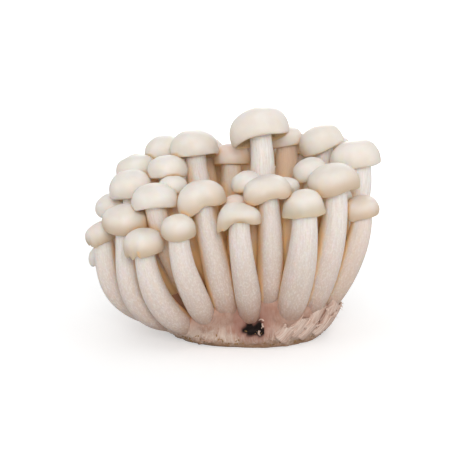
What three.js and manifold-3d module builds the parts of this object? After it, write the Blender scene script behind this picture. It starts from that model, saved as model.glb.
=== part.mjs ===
// White shimeji (beech mushroom) bunch. Millimetres, +Z up, front towards -Y.
//
// The mushrooms grow from one butt, the firm mass of mycelium that was cut off its growing medium.
// Each one is a single growth: a stem that swells low down and a cap whose margin rolls in. The
// stems fan out of the butt and turn up, and neighbours that meet press each other flat. The bunch
// stands on the flat cut under the butt. The origin is on that flat, under the outline's middle.
import * as THREE from "three";
import Module from "manifold-3d";

const wasm = await Module();
wasm.setup();

// ---- Driving dimensions ---------------------------------------------------------------------

const GAP = 0.35; // between any two pieces
const AROUND = 10; // points round each mushroom
const STEM_STEPS = 8; // steps along a stem's middle line

// The butt is an ellipsoid with its underside cut flat at z = 0, a little lumpy.
const BUTT_MIDDLE = new THREE.Vector3(6, 0, 6);
const BUTT_HALF = new THREE.Vector3(35, 30, 13.5);
const BUTT_AROUND = 28;
const BUTT_RINGS = 7;
const LUMP = 0.02; // depth of the butt's hollows, as a share of its size

// Half of a cap's outline, from the inrolled margin over its widest place and shoulder to the
// crown, in shares of the cap's radius: distance from the axis, height over the margin.
const CAP_OUTLINE = new THREE.SplineCurve([
  new THREE.Vector2(0.83, 0),
  new THREE.Vector2(1, 0.3),
  new THREE.Vector2(0.78, 0.84),
  new THREE.Vector2(0, 1.11),
]).getPoints(6);
const CAP_TOP = CAP_OUTLINE.at(-1).y;
const GILL_ROOT = 0.14; // height over the margin at which the gills meet the stem

// A stem's thickness as a share of its thickest place, at even steps from the foot to the cap.
const STEM_SWELL = [0.78, 0.93, 1, 1, 0.97, 0.92, 0.86, 0.8, 0.77];

// One row a mushroom. middle: the middle of the cap. wide: the cap's width. lean: how far the
// cap's axis leans towards +X and +Y, in degrees. foot: where the stem leaves the butt, seen from
// above. thick: the stem at its thickest. sweep: how far the stem runs out before it turns up, as a
// share of its span. droop: a margin that hangs lower on one side, as the side's bearing in degrees
// from +X and how much lower it hangs.
const FRONT = [
  { middle: [-55, -13, 46], wide: 13.5, lean: [-18, -6], foot: [-28, -6], thick: 11.2, sweep: 0.62 },
  { middle: [-43.3, -26, 55.8], wide: 19, lean: [-5, -10], foot: [-24, -15], thick: 10.6, sweep: 0.58 },
  { middle: [-36, -38, 48.5], wide: 17.5, lean: [-6, -5], foot: [-17, -22], thick: 10.8, sweep: 0.5 },
  { middle: [-22, -42, 55], wide: 15.5, lean: [-2, -8], foot: [-9, -24.5], thick: 10.6, sweep: 0.46 },
  { middle: [-13.8, -33, 65.6], wide: 19.6, lean: [-19, -2], foot: [-2.5, -23.5], thick: 11.6 },
  { middle: [2.2, -42, 60.8], wide: 17, lean: [2, -4], foot: [6, -25], thick: 10.4, droop: [200, 2.2] },
  { middle: [14, -34, 68], wide: 20.5, lean: [-8, 0], foot: [14.5, -21], thick: 11, sweep: 0.25 },
  { middle: [27, -38, 65.5], wide: 17.5, lean: [-6, -4], foot: [20, -22.5], thick: 11.6, sweep: 0.38 },
  { middle: [38.6, -26, 71.6], wide: 21.5, lean: [-14, -2], foot: [28.5, -17.5], thick: 11.4, sweep: 0.32 },
  { middle: [51, -20, 59], wide: 14.5, lean: [-8, -4], foot: [34.5, -10], thick: 9, sweep: 0.24 },
];
const SECOND_ROW = [
  { middle: [-30.5, -25, 65.6], wide: 18.5, lean: [-4, 2], foot: [-13, -17], thick: 11.4 },
  { middle: [-51, 1, 55], wide: 15, lean: [-14, -2], foot: [-28, 3], thick: 10.6, sweep: 0.5 },
  { middle: [-57, 6, 32], wide: 11, lean: [-36, 4], foot: [-27, 9], thick: 7, sweep: 0.5 },
  { middle: [-42.7, -8, 65.4], wide: 18.5, lean: [-9, 2], foot: [-21, -5], thick: 11, sweep: 0.4 },
  { middle: [-27.4, -14, 65], wide: 12, lean: [0, 0], foot: [-7, -12], thick: 8.8 },
  { middle: [5.2, -21, 68.8], wide: 13, lean: [-10, 0], foot: [6.5, -18], thick: 8.2 },
  { middle: [1, -29, 61], wide: 11.5, lean: [0, 0], foot: [2, -20], thick: 7.8 },
  { middle: [21.5, -22, 67.5], wide: 10.5, lean: [0, 4], foot: [17, -16], thick: 8.2 },
  { middle: [32, -13, 71.6], wide: 15, lean: [-18, 2], foot: [22, -9], thick: 10 },
  { middle: [46.5, -12, 59.5], wide: 10.5, lean: [4, 0], foot: [34, -5], thick: 9.4, sweep: 0.4 },
];
const CROWN = [
  { middle: [-39.6, 9, 72], wide: 17, lean: [-12, 4], foot: [-18, 6], thick: 10.2 },
  { middle: [-27, -8, 70.6], wide: 16.5, lean: [-2, 6], foot: [-12, -5], thick: 10 },
  { middle: [-16.6, 1, 80.2], wide: 20.5, lean: [-6, 13], foot: [-5, -4], thick: 11.6 },
  { middle: [-1, 9, 74.4], wide: 15.5, lean: [0, 12], foot: [0, 3], thick: 11 },
  { middle: [9.5, -3, 89.2], wide: 25, lean: [-16, 22], foot: [9, -5], thick: 12 },
  { middle: [21.3, 13, 81], wide: 15, lean: [-12, 10], foot: [13, 6], thick: 11.4 },
  { middle: [35.4, 4, 82], wide: 19, lean: [-22, 8], foot: [21, 2], thick: 10.8 },
  { middle: [49.4, -5, 76.6], wide: 21.5, lean: [-15, 14], foot: [31, -1], thick: 11, sweep: 0.35 },
  { middle: [-31, 13, 74], wide: 17, lean: [-8, 6], foot: [-11, 8], thick: 10.2 },
  { middle: [43, 17, 77], wide: 13, lean: [-5, 8], foot: [27, 8], thick: 10.2 },
];
const BACK = [
  { middle: [-13, 20, 75], wide: 17, lean: [-6, 14], foot: [-4, 11], thick: 10.4 },
  { middle: [9, 24, 79], wide: 18.5, lean: [2, 16], foot: [4, 12], thick: 12 },
  { middle: [28, 26, 75], wide: 17, lean: [6, 18], foot: [19, 14], thick: 10.4 },
  { middle: [-28, 30, 66], wide: 18, lean: [-14, 16], foot: [-12, 17], thick: 10.8 },
  { middle: [-9, 36, 68], wide: 19, lean: [-2, 20], foot: [-2, 20], thick: 11 },
  { middle: [13, 39, 70], wide: 20, lean: [4, 16], foot: [9, 21], thick: 12 },
  { middle: [33, 40, 62], wide: 16, lean: [10, 18], foot: [20, 22], thick: 10.8 },
  { middle: [45, 30, 64], wide: 18.5, lean: [14, 12], foot: [28, 16], thick: 11.2, sweep: 0.4 },
  { middle: [-37, 38, 51], wide: 17.5, lean: [-16, 18], foot: [-17, 21], thick: 11.6, sweep: 0.5 },
  { middle: [-20, 46, 55], wide: 16, lean: [-8, 16], foot: [-8, 26], thick: 11.8, sweep: 0.46 },
  { middle: [1, 47, 57], wide: 18, lean: [2, 14], foot: [4, 28], thick: 12.4, sweep: 0.42 },
  { middle: [21, 48, 52], wide: 16.5, lean: [6, 16], foot: [15, 27], thick: 12, sweep: 0.46 },
  { middle: [39, 43, 46], wide: 15, lean: [14, 16], foot: [27, 21], thick: 11.2, sweep: 0.5 },
  { middle: [-39.5, 25, 60], wide: 16.5, lean: [-14, 8], foot: [-21, 14], thick: 11, sweep: 0.4 },
  { middle: [-51, 19, 43], wide: 14, lean: [-22, 8], foot: [-25, 12], thick: 9.6, sweep: 0.4 },
  { middle: [-46, 34, 35], wide: 13, lean: [-24, 16], foot: [-21, 19], thick: 9.4, sweep: 0.5 },
  { middle: [48.5, 9, 50], wide: 15.5, lean: [12, 2], foot: [36, 5], thick: 11, sweep: 0.42 },
  { middle: [51, 26, 44], wide: 14.5, lean: [16, 8], foot: [35, 12], thick: 10.6, sweep: 0.5 },
  { middle: [46, 37, 33], wide: 12.5, lean: [20, 14], foot: [31, 19], thick: 9.2, sweep: 0.5 },
];
const USUAL_SWEEP = 0.3;

// How readily each group gives way to a crowding neighbour.
const GROUPS = {
  front: { rows: FRONT, give: 0.25 },
  second_row: { rows: SECOND_ROW, give: 0.6 },
  crown: { rows: CROWN, give: 0.45 },
  back: { rows: BACK, give: 1 },
};

// ---- Growth: each mushroom's middle line ----------------------------------------------------

const UP = new THREE.Vector3(0, 0, 1);
const CLEAR_OF_BUTT = 1 + GAP / BUTT_HALF.z; // how much the butt swells to keep the gap

// How far out of the butt's middle a point is: 1 on its surface.
const shareOfButt = (point) => point.clone().sub(BUTT_MIDDLE).divide(BUTT_HALF).length();

// The point just clear of the butt's surface on the ray from the butt's middle.
function ontoButt(point) {
  const ray = point.clone().sub(BUTT_MIDDLE);
  return ray.multiplyScalar(CLEAR_OF_BUTT / shareOfButt(point)).add(BUTT_MIDDLE);
}

// The place on the butt's upper side over (x, y).
function footOnButt([x, y]) {
  const flat = new THREE.Vector3(x, y, BUTT_MIDDLE.z);
  const rise = Math.sqrt(Math.max(0, 1 - shareOfButt(flat) ** 2));
  return ontoButt(flat.setZ(BUTT_MIDDLE.z + rise * BUTT_HALF.z));
}

// A mushroom's middle line runs out of the butt, turns up and meets the cap along its axis.
function sprout(row, name, give) {
  const [towardsX, towardsY] = row.lean.map((angle) => Math.tan(THREE.MathUtils.degToRad(angle)));
  const axis = new THREE.Vector3(towardsX, towardsY, 1).normalize();
  const radius = row.wide / 2;
  const margin = new THREE.Vector3(...row.middle).addScaledVector(axis, (-CAP_TOP / 2) * radius);
  const foot = footOnButt(row.foot);
  const span = margin.distanceTo(foot);
  const outwards = foot.clone().sub(BUTT_MIDDLE).divide(BUTT_HALF).divide(BUTT_HALF).normalize();
  const upwards = axis.clone().add(UP).normalize();
  const path = new THREE.CubicBezierCurve3(
    foot,
    foot.clone().addScaledVector(outwards, span * (row.sweep ?? USUAL_SWEEP)),
    margin.clone().addScaledVector(upwards, -0.3 * span),
    margin.clone().addScaledVector(axis, GILL_ROOT * radius),
  );
  const line = path.getPoints(STEM_STEPS);
  const stemRadii = STEM_SWELL.map((share) => (share * row.thick) / 2);
  const home = line.map((point) => point.clone());
  return { name, give, axis, radius, line, home, stemRadii, droop: row.droop };
}

// ---- Crowding: how neighbours move apart ----------------------------------------------------

const RIM_BALLS = 8;
const PASSES = 160;
const PUSH = 0.25; // the share of an overlap that one pass takes away
const SPRING_BACK = 0.02; // the share of its shift that a stem takes back in each pass
const EVEN_OUT = 0.5; // how far a step of the stem follows the steps beside it

// The balls that stand for a mushroom while it makes room: one at each step of the stem, one in
// the cap's middle and a ring of them round its rim.
function balls({ axis, radius, line, stemRadii }) {
  const found = line.map((at, step) => ({ at, step, r: stemRadii[step] }));
  const seat = line[STEM_STEPS];
  const heart = seat.clone().addScaledVector(axis, 0.38 * radius);
  found.push({ at: heart, step: STEM_STEPS, r: 0.56 * radius });
  const side = new THREE.Vector3(1, 0, 0).cross(axis).normalize();
  for (let i = 0; i < RIM_BALLS; i++) {
    const away = side.clone().applyAxisAngle(axis, (i * 2 * Math.PI) / RIM_BALLS);
    const level = seat.clone().addScaledVector(axis, 0.22 * radius);
    found.push({ at: level.addScaledVector(away, 0.6 * radius), step: STEM_STEPS, r: 0.4 * radius });
  }
  return found;
}

// Adds to two mushrooms' pushes wherever their balls overlap.
function pushApart(ballsA, ballsB, pushA, pushB, share) {
  for (const a of ballsA)
    for (const b of ballsB) {
      const way = b.at.clone().sub(a.at);
      const crowded = a.r + b.r + GAP - way.length();
      if (crowded <= 0) continue;
      way.setLength(PUSH * crowded);
      pushA[a.step].addScaledVector(way, -share);
      pushB[b.step].addScaledVector(way, 1 - share);
    }
}

// Each stem bends evenly, springs back a little and keeps its foot on the butt.
function bend({ line, home }, push) {
  const shift = line.map((point, i) => point.clone().add(push[i]).sub(home[i]));
  shift.forEach((step) => step.multiplyScalar(1 - SPRING_BACK));
  for (let i = 1; i < STEM_STEPS; i++) {
    const even = shift[i - 1].clone().add(shift[i + 1]).divideScalar(2);
    shift[i].lerp(even, EVEN_OUT);
  }
  line.forEach((point, i) => point.copy(home[i]).add(shift[i]));
  line[0].copy(ontoButt(line[0]));
}

function makeRoom(mushrooms) {
  for (let pass = 0; pass < PASSES; pass++) {
    const all = mushrooms.map(balls);
    const pushes = mushrooms.map(({ line }) => line.map(() => new THREE.Vector3()));
    for (let a = 0; a < all.length; a++)
      for (let b = a + 1; b < all.length; b++) {
        const share = mushrooms[a].give / (mushrooms[a].give + mushrooms[b].give);
        pushApart(all[a], all[b], pushes[a], pushes[b], share);
      }
    mushrooms.forEach((mushroom, i) => bend(mushroom, pushes[i]));
  }
}

// ---- Pressing: where neighbours flatten each other --------------------------------------------

// Distance of a point from a cap's surface, below 0 inside.
function fromCap({ axis, radius, line }, point) {
  const offset = point.clone().sub(line[STEM_STEPS]).divideScalar(radius);
  const along = offset.dot(axis);
  const here = new THREE.Vector2(Math.sqrt(Math.max(0, offset.lengthSq() - along ** 2)), along + GILL_ROOT);
  const outline = [new THREE.Vector2(0, GILL_ROOT), ...CAP_OUTLINE];
  let nearest = Infinity;
  let inside = true;
  for (let i = 0; i + 1 < outline.length; i++) {
    const edge = outline[i + 1].clone().sub(outline[i]);
    const towards = here.clone().sub(outline[i]);
    const t = THREE.MathUtils.clamp(towards.dot(edge) / edge.lengthSq(), 0, 1);
    nearest = Math.min(nearest, towards.distanceTo(edge.clone().multiplyScalar(t)));
    if (edge.cross(towards) < 0) inside = false;
  }
  return nearest * radius * (inside ? -1 : 1);
}

// Distance of a point from a stem's surface, below 0 inside.
function fromStem({ line, stemRadii }, point) {
  let nearest = Infinity;
  for (let i = 0; i < STEM_STEPS; i++) {
    const step = line[i + 1].clone().sub(line[i]);
    const t = THREE.MathUtils.clamp(point.clone().sub(line[i]).dot(step) / step.lengthSq(), 0, 1);
    const middle = line[i].clone().addScaledVector(step, t);
    const radius = THREE.MathUtils.lerp(stemRadii[i], stemRadii[i + 1], t);
    nearest = Math.min(nearest, point.distanceTo(middle) - radius);
  }
  return nearest;
}

const fromSkin = (mushroom, point) => Math.min(fromCap(mushroom, point), fromStem(mushroom, point));

// A point of a mushroom's skin, drawn in towards its middle until it is on the mushroom's own side
// of each neighbour.
const HALVINGS = 10;
const LEAST_LEFT = 0.12; // the share of its thickness that a pressed mushroom keeps
function pressed(own, neighbours, point, middle) {
  let at = point;
  for (const { other, gap } of neighbours) {
    if (fromSkin(other, at) > gap) continue;
    let low = LEAST_LEFT;
    let high = 1;
    for (let i = 0; i < HALVINGS; i++) {
      const share = (low + high) / 2;
      const tried = middle.clone().lerp(at, share);
      if (fromSkin(own, tried) - fromSkin(other, tried) < -gap) low = share;
      else high = share;
    }
    at = middle.clone().lerp(at, low);
  }
  return at;
}

// ---- Skins: rings of points from the foot to the crown of the cap -----------------------------

// How much lower than an even margin a drooping one hangs, in each direction from the axis.
function hang({ droop }, away, height) {
  if (!droop) return 0;
  const bearing = THREE.MathUtils.degToRad(droop[0]);
  const facing = away.x * Math.cos(bearing) + away.y * Math.sin(bearing);
  return droop[1] * Math.max(0, facing) ** 3 * (1 - height / CAP_TOP);
}

// A mushroom's skin, pressed by its neighbours: rings of points, and the pole at either end.
function mushroomSkin(own, neighbours) {
  const { line, stemRadii, axis, radius } = own;
  const seat = line[STEM_STEPS];
  const heart = seat.clone().addScaledVector(axis, 0.3 * radius);
  const rings = [];
  let side = new THREE.Vector3(1, 0, 0);
  const addRing = (centre, along, r, middle, height = CAP_TOP) => {
    side = side.clone().addScaledVector(along, -side.dot(along)).normalize();
    const ring = [];
    for (let i = 0; i < AROUND; i++) {
      const away = side.clone().applyAxisAngle(along, (i * 2 * Math.PI) / AROUND);
      const point = centre.clone().addScaledVector(away, r);
      point.addScaledVector(along, -hang(own, away, height));
      ring.push(pressed(own, neighbours, point, middle));
    }
    rings.push(ring);
  };
  line.forEach((point, i) => {
    const along = i === STEM_STEPS ? axis : line[i + 1].clone().sub(line[Math.max(i - 1, 0)]);
    addRing(point, along.clone().normalize(), stemRadii[i], point);
  });
  for (const { x, y } of CAP_OUTLINE.slice(0, -1)) {
    const centre = seat.clone().addScaledVector(axis, (y - GILL_ROOT) * radius);
    addRing(centre, axis, x * radius, heart, y);
  }
  const crown = seat.clone().addScaledVector(axis, (CAP_TOP - GILL_ROOT) * radius);
  settleOnButt(rings);
  return skin(rings, line[0], pressed(own, neighbours, crown, heart));
}

// The foot's ring lies on the butt, and no other ring reaches into it.
function settleOnButt(rings) {
  rings.forEach((ring, i) => {
    for (const point of ring)
      if (i === 0 || shareOfButt(point) < CLEAR_OF_BUTT) point.copy(ontoButt(point));
  });
}

// One closed skin through rings of points, with a pole at either end.
function skin(rings, firstPole, lastPole) {
  const around = rings[0].length;
  const points = [...rings.flat(), firstPole, lastPole];
  const topRing = (rings.length - 1) * around;
  const faces = [];
  for (let i = 0; i < around; i++) {
    const next = (i + 1) % around;
    faces.push(points.length - 2, next, i);
    for (let low = 0; low < topRing; low += around) {
      const high = low + around;
      faces.push(low + i, low + next, high + next, low + i, high + next, high + i);
    }
    faces.push(topRing + i, topRing + next, points.length - 1);
  }
  return new THREE.BufferGeometry().setFromPoints(points).setIndex(faces);
}

const solidOf = (geometry) =>
  new wasm.Manifold(
    new wasm.Mesh({
      numProp: 3,
      vertProperties: geometry.getAttribute("position").array,
      triVerts: new Uint32Array(geometry.index.array),
    }),
  );

// Every mushroom's skin. A pair that still overlaps gets a wider gap, and all are pressed again.
const PRESS_ROUNDS = 12;
const WIDER = 0.15;
const TOUCHING = 0.002; // mm3 of overlap
function pressAll(mushrooms) {
  const boxes = mushrooms.map(({ line, radius }) => {
    const box = new THREE.Box3().setFromPoints(line);
    return box.expandByScalar(radius);
  });
  const gaps = mushrooms.map(() => new Map());
  for (let a = 0; a < boxes.length; a++)
    for (let b = 0; b < boxes.length; b++)
      if (a !== b && boxes[a].intersectsBox(boxes[b])) gaps[a].set(b, GAP / 2);
  let skins = [];
  for (let round = 0; round < PRESS_ROUNDS; round++) {
    skins = mushrooms.map((mushroom, a) => {
      const neighbours = [...gaps[a]].map(([b, gap]) => ({ other: mushrooms[b], gap }));
      return mushroomSkin(mushroom, neighbours);
    });
    const solids = skins.map(solidOf);
    let overlaps = 0;
    for (let a = 0; a < solids.length; a++)
      for (const [b, gap] of gaps[a]) {
        if (b < a || solids[a].intersect(solids[b]).volume() < TOUCHING) continue;
        gaps[a].set(b, gap + WIDER);
        gaps[b].set(a, gap + WIDER);
        overlaps += 1;
      }
    if (overlaps === 0) break;
  }
  return skins;
}

// The butt: rings round its upright axis from the flat cut to its top.
function buttSkin() {
  const height = BUTT_MIDDLE.z + BUTT_HALF.z;
  const rings = [];
  for (let i = 0; i < BUTT_RINGS; i++) {
    const z = height * Math.sin((i / BUTT_RINGS) * (Math.PI / 2));
    const wide = Math.sqrt(1 - ((z - BUTT_MIDDLE.z) / BUTT_HALF.z) ** 2);
    const ring = [];
    for (let j = 0; j < BUTT_AROUND; j++) {
      const turn = (j * 2 * Math.PI) / BUTT_AROUND;
      const size = wide * (1 - LUMP * (1 + Math.sin(5 * turn + z) * Math.cos(3 * turn)));
      const x = BUTT_MIDDLE.x + BUTT_HALF.x * size * Math.cos(turn);
      const y = BUTT_MIDDLE.y + BUTT_HALF.y * size * Math.sin(turn);
      ring.push(new THREE.Vector3(x, y, z));
    }
    rings.push(ring);
  }
  return skin(rings, BUTT_MIDDLE.clone().setZ(0), BUTT_MIDDLE.clone().setZ(height));
}

// ---- The bunch ------------------------------------------------------------------------------

const flesh = new THREE.MeshStandardMaterial({ color: "#efe6d8", roughness: 0.55, metalness: 0 });
const mycelium = new THREE.MeshStandardMaterial({ color: "#dcc3b0", roughness: 0.85, metalness: 0 });

const mushrooms = [];
for (const [group, { rows, give }] of Object.entries(GROUPS))
  rows.forEach((row, i) => {
    const name = `${group}_mushroom_${String(i + 1).padStart(2, "0")}`;
    mushrooms.push(sprout(row, name, give));
  });
makeRoom(mushrooms);

const bunch = new THREE.Group();
function addPiece(name, geometry, material) {
  const mesh = new THREE.Mesh(geometry, material);
  mesh.name = name;
  bunch.add(mesh);
}
addPiece("butt", buttSkin(), mycelium);
pressAll(mushrooms).forEach((geometry, i) => addPiece(mushrooms[i].name, geometry, flesh));

// Every piece is moved alike, so that the origin is under the middle of the outline.
const outline = new THREE.Box3().setFromObject(bunch);
const middle = outline.getCenter(new THREE.Vector3());
for (const mesh of bunch.children) mesh.position.set(-middle.x, -middle.y, -outline.min.z);

export default bunch;
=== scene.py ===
# The looks of a white shimeji (beech mushroom) bunch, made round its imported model.
import math

import bmesh
import bpy
import numpy as np
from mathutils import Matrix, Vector, noise
from mathutils.bvhtree import BVHTree
from numpy.linalg import norm


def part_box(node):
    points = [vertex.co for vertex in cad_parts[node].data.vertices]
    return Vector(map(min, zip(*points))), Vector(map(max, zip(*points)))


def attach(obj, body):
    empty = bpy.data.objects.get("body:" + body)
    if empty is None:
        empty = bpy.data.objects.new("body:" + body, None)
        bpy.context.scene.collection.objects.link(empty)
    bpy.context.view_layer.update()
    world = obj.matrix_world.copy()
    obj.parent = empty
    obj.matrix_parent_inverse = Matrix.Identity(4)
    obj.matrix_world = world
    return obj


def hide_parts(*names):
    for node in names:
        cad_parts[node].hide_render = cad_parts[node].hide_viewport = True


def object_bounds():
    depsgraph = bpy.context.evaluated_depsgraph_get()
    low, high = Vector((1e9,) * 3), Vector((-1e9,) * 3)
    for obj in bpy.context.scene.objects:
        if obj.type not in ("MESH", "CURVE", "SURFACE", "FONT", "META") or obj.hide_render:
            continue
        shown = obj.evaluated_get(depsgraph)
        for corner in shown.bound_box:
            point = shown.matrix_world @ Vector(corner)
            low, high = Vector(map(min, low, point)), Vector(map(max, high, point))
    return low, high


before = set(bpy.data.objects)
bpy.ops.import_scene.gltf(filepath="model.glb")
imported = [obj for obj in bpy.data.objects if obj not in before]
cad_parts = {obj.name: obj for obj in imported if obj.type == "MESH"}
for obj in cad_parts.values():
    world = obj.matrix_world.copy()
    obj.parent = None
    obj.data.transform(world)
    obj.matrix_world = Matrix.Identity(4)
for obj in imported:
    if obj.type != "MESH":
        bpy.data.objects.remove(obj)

cad_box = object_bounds()


# ---- The mushrooms ----
# Each mushroom is one growth of firm white flesh: a stem, and a cap whose margin rolls in under it.
# It grows out of the butt, and neighbours press each other flat where they meet. Its skin is a fine
# round surface with a rolled lip and a hollow underside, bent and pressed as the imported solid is.

MM = 0.001
PACKED_AROUND = 10  # points in a ring of a packed mushroom
STEM_RINGS = 9  # its rings up to the gills; the rest are the cap's
AROUND = 60  # points round the fine skin


def turns(count):
    """So many bearings, evenly round from +X."""
    return np.arange(count) * 2 * math.pi / count


def on_circle(bearing):
    """The points of a circle of radius 1 at some bearings."""
    return np.stack([np.cos(bearing), np.sin(bearing), 0 * bearing], axis=1)


TURN = turns(AROUND)
PACKED_TURN = turns(PACKED_AROUND)


def rings_of(node):
    """A packed mushroom's rings of points in mm, from foot to cap, and its crown."""
    merged = bmesh.new()
    merged.from_mesh(node.data)
    bmesh.ops.remove_doubles(merged, verts=merged.verts, dist=1e-6)
    poles = [v for v in merged.verts if len(v.link_edges) == PACKED_AROUND]
    crown = max(poles, key=lambda v: v.co.z)
    following = {}
    for face in crown.link_faces:
        corners = list(face.verts)
        top = corners.index(crown)
        following[corners[top - 2]] = corners[top - 1]
    ring = [next(iter(following))]
    while len(ring) < PACKED_AROUND:
        ring.append(following[ring[-1]])
    rings = []
    seen = {crown}
    while len(set(ring)) == PACKED_AROUND:
        rings.insert(0, [tuple(v.co / MM) for v in ring])
        seen.update(ring)
        below = [{e.other_vert(v) for e in v.link_edges} - seen for v in ring]
        ring = [(below[i] & below[(i + 1) % PACKED_AROUND]).pop() for i in range(PACKED_AROUND)]
    found = np.array(rings), np.array(crown.co / MM)
    merged.free()
    return found


def unit(way):
    """A direction, brought to length 1."""
    return way / norm(way)


def middle_of(ring):
    """The point that a ring's opposite points face each other across."""
    half = PACKED_AROUND // 2
    ways = ring[half:] - ring[:half]
    ways /= norm(ways, axis=1, keepdims=True)
    across = np.eye(3) - ways[:, :, None] * ways[:, None, :]
    level = unit(np.cross(ways[0], ways[2]))
    target = (across @ ring[:half, :, None]).sum(0)[:, 0] + level * (level @ ring.mean(0))
    return np.linalg.solve(across.sum(0) + np.outer(level, level), target)


def circles(middle, first, second, turn):
    """Points round a middle, from its first direction towards its second."""
    return middle + np.cos(turn)[:, None] * first + np.sin(turn)[:, None] * second


def circle_of(ring, turn):
    """The circle that a ring was before it was pressed, at some turns from its first point."""
    middle = middle_of(ring)
    arms = ring - middle
    radius = norm(arms, axis=1).max()
    first = unit(arms[0])
    second = np.cross(unit(np.cross(first, arms[2])), first)
    return circles(middle, radius * first, radius * second, turn)


def rounded(rings):
    """Rings with AROUND points each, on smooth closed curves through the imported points."""
    spot = np.arange(AROUND) * PACKED_AROUND / AROUND
    i = spot.astype(int)
    t = (spot - i)[:, None]
    a, b, c, d = (rings[:, (i + k) % PACKED_AROUND] for k in (-1, 0, 1, 2))
    return b + t * ((c - a) + t * ((2 * a - 5 * b + 4 * c - d) + t * (3 * (b - c) + d - a))) / 2


def smooth_rows(rows, steps):
    """Smooth curves along the columns of some rows, with so many steps from each row to the next."""
    spans = norm(np.diff(rows, axis=0), axis=-1, keepdims=True)
    spans = np.sqrt(np.maximum(spans, 1e-3))
    slopes = np.diff(rows, axis=0) / spans
    wide = (rows[2:] - rows[:-2]) / (spans[1:] + spans[:-1])
    tangents = np.concatenate([slopes[:1], slopes[:-1] + slopes[1:] - wide, slopes[-1:]])
    fine = []
    for k, count in enumerate(steps):
        p, q = rows[k], rows[k + 1]
        m, n = tangents[k] * spans[k], tangents[k + 1] * spans[k]
        for j in range(count):
            t = j / count
            fine.append(p + t * (m + t * (3 * (q - p) - 2 * m - n + t * (2 * (p - q) + m + n))))
    return np.array(fine)


def uneven(places, sizes, seed):
    """Smooth noise from -1 to 1 at some places, with lumps of the given sizes."""
    spread = (places / sizes + seed * 7.3).reshape(-1, 3)
    return np.array([noise.noise(p) for p in spread.tolist()]).reshape(places.shape[:-1])


def relief(places, layers, seed=0, base=0):
    """Layers of unevenness on a base, each with its height, the sizes of its lumps and its seed."""
    return sum((height * uneven(places, sizes, seed + own) for height, sizes, own in layers), base)


def eased(values, low, high):
    """0 up to low, 1 from high, and smooth between them."""
    t = np.clip((values - low) / (high - low), 0, 1)
    return t * t * (3 - 2 * t)


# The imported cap's outline from its margin to its shoulder, in shares of the cap's radius: distance
# from the axis, height over the margin.
PACKED_CAP = [(0.83, 0), (0.929, 0.116), (1, 0.3), (0.949, 0.572), (0.78, 0.84), (0.376, 1.009)]
CAP_TOP, GILL_ROOT = 1.11, 0.14

# The real cap's outline from the stem, over the hollow and round the lip, to the crown. The third
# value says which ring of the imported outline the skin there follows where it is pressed.
HOLLOW = [(0.08, 0.17), (0.34, 0.27), (0.62, 0.27), (0.82, 0.19), (0.93, 0.1)]
NARROW_HOLLOW = 0.4  # a hollow narrower than this is lower as well
WIDEST = 0.3
LIP = [(0.845, 0.0, 0), (0.92, 0.005, 0.4), (0.975, 0.11, 1)]
DOME = [(1, WIDEST, 2), (0.955, 0.575, 3), (0.8, 0.84, 4), (0.45, 1.045, 5), (0, CAP_TOP, 6)]
LAST_RING = 6
MARGIN_FADE = 4.2  # rings over which what the margin does dies out
FOOT_DROP, FOOT_TAPER = 0.35, 0.25  # how the foot ends in the butt
FOOT_ROW = 2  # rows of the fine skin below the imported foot
STEM_STEP, HOLLOW_STEP, CAP_STEP = 6, 2, 4
STEM_STEPS = [FOOT_ROW] + [STEM_STEP] * (STEM_RINGS - 1)
HOLLOW_STEPS = [HOLLOW_STEP] * (len(HOLLOW) + 1)
CAP_STEPS = [CAP_STEP - 1] * len(LIP) + [CAP_STEP + 1] * (len(DOME) - 1)
HOLLOW_ROW = sum(STEM_STEPS)
LIP_ROW = HOLLOW_ROW + sum(HOLLOW_STEPS)

# Unevenness that every mushroom has, on its skin in mm, and round its margin, where the sizes of lumps
# are shares of its radius.
RIDGES = [(0.2, (3.2, 3.2, 18), 0), (0.1, (1.3, 1.3, 11), 50)]  # lengthwise, on the stem
CAP_LUMP, CAP_LUMP_SIZE = 0.5, 0.9  # the size is a share of the margin's radius
FINE_LUMP = (0.09, 3.0, 0)
HANGING = [(0.5, 1.1, 11)]
FLARING = [(0.45, 0.9, 23)]
PUCKER_DOWN, PUCKER_OUT = [(1, 0.24, 31)], [(1, 0.2, 37)]

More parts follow.
